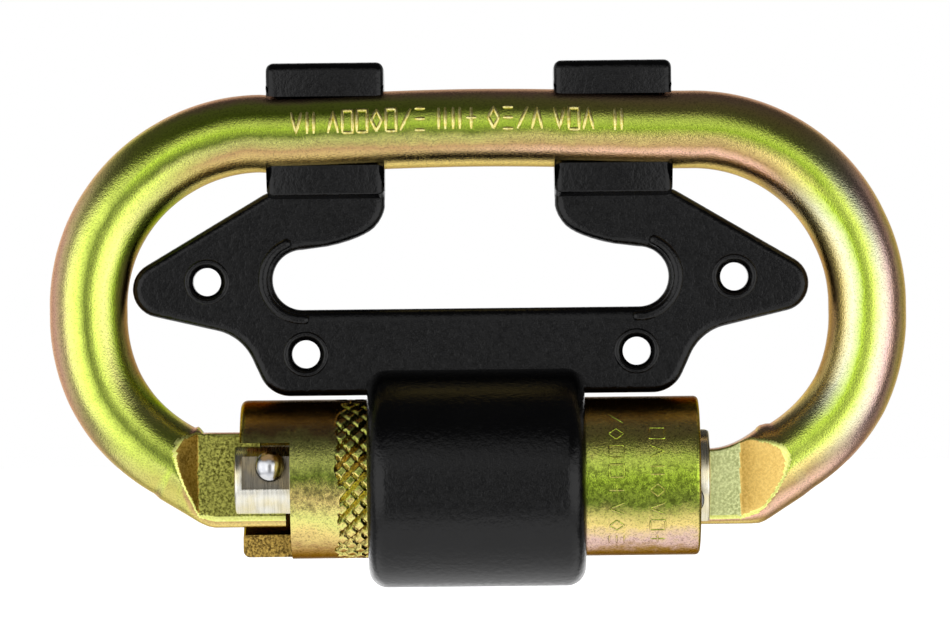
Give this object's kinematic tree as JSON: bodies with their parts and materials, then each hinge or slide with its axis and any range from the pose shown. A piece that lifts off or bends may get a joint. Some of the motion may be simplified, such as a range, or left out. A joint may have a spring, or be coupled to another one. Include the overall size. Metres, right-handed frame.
{
  "type": "locking carabiner",
  "caption": "Oval steel locking carabiner with a knurled twist-lock gate sleeve, held in a black moulded bracket with spine clips, a webbing slot and a collar round the sleeve.",
  "frame": {"origin": "centre of the whole object's box, on the middle plane of the oval frame", "axes": "+X along the spine and the gate towards the hinge, +Z from the gate up to the spine, +Y out of the back, where the bracket's clips come from"},
  "size_m": [0.11, 0.028, 0.0674],
  "materials": {
    "zinc_yellow": "yellow zinc plating with an iridescent satin sheen",
    "gate_silver": "turned steel, pale silver to light gold",
    "pin_chrome": "polished domed pin",
    "bright_steel": "ground steel",
    "spring_steel": "drawn wire",
    "black_plastic": "fine moulded texture, semi-matt"
  },
  "bodies": {
    "frame": {"frame": "zinc_yellow"},
    "gate": {"gate_body": "gate_silver", "hinge_pin": "bright_steel", "latch_pin": "pin_chrome", "sleeve_stop_pin": "bright_steel", "gate_spring": "spring_steel", "sleeve_spring": "spring_steel"},
    "sleeve": {"lock_sleeve": "zinc_yellow", "sleeve_end_ring": "bright_steel"},
    "bracket": {"bracket": "black_plastic"},
    "plunger": {"gate_plunger": "bright_steel"}
  },
  "joints": [
    {"name": "gate_swing", "type": "hinge", "parent": "frame", "child": "gate", "pos_m": [0.0265, 0, -0.0227], "axis": [0, 1, 0], "range_deg": [0, 33], "stiffness_Nm_per_rad": 0.1, "springref_deg": -28.65},
    {"name": "sleeve_twist", "type": "hinge", "parent": "gate", "child": "sleeve", "pos_m": [0, 0, -0.0197], "axis": [1, 0, 0], "range_deg": [0, 90], "deforming": ["sleeve_spring"]},
    {"name": "bracket_swing", "type": "hinge", "parent": "gate", "child": "bracket", "pos_m": [0, 0, -0.0197], "axis": [-1, 0, 0], "range_deg": [0, 150]},
    {"name": "plunger_slide", "type": "slide", "parent": "gate", "child": "plunger", "axis": [-1, 0, 0], "range_m": [0, 0.0029], "deforming": ["gate_spring"]}
  ],
  "couplings": [
    {"joint": "sleeve_twist", "follows": "gate_swing", "ratio": 2.72},
    {"joint": "bracket_swing", "follows": "gate_swing", "ratio": 4.54},
    {"joint": "plunger_slide", "follows": "gate_swing", "m_per_rad": 0.0048}
  ]
}
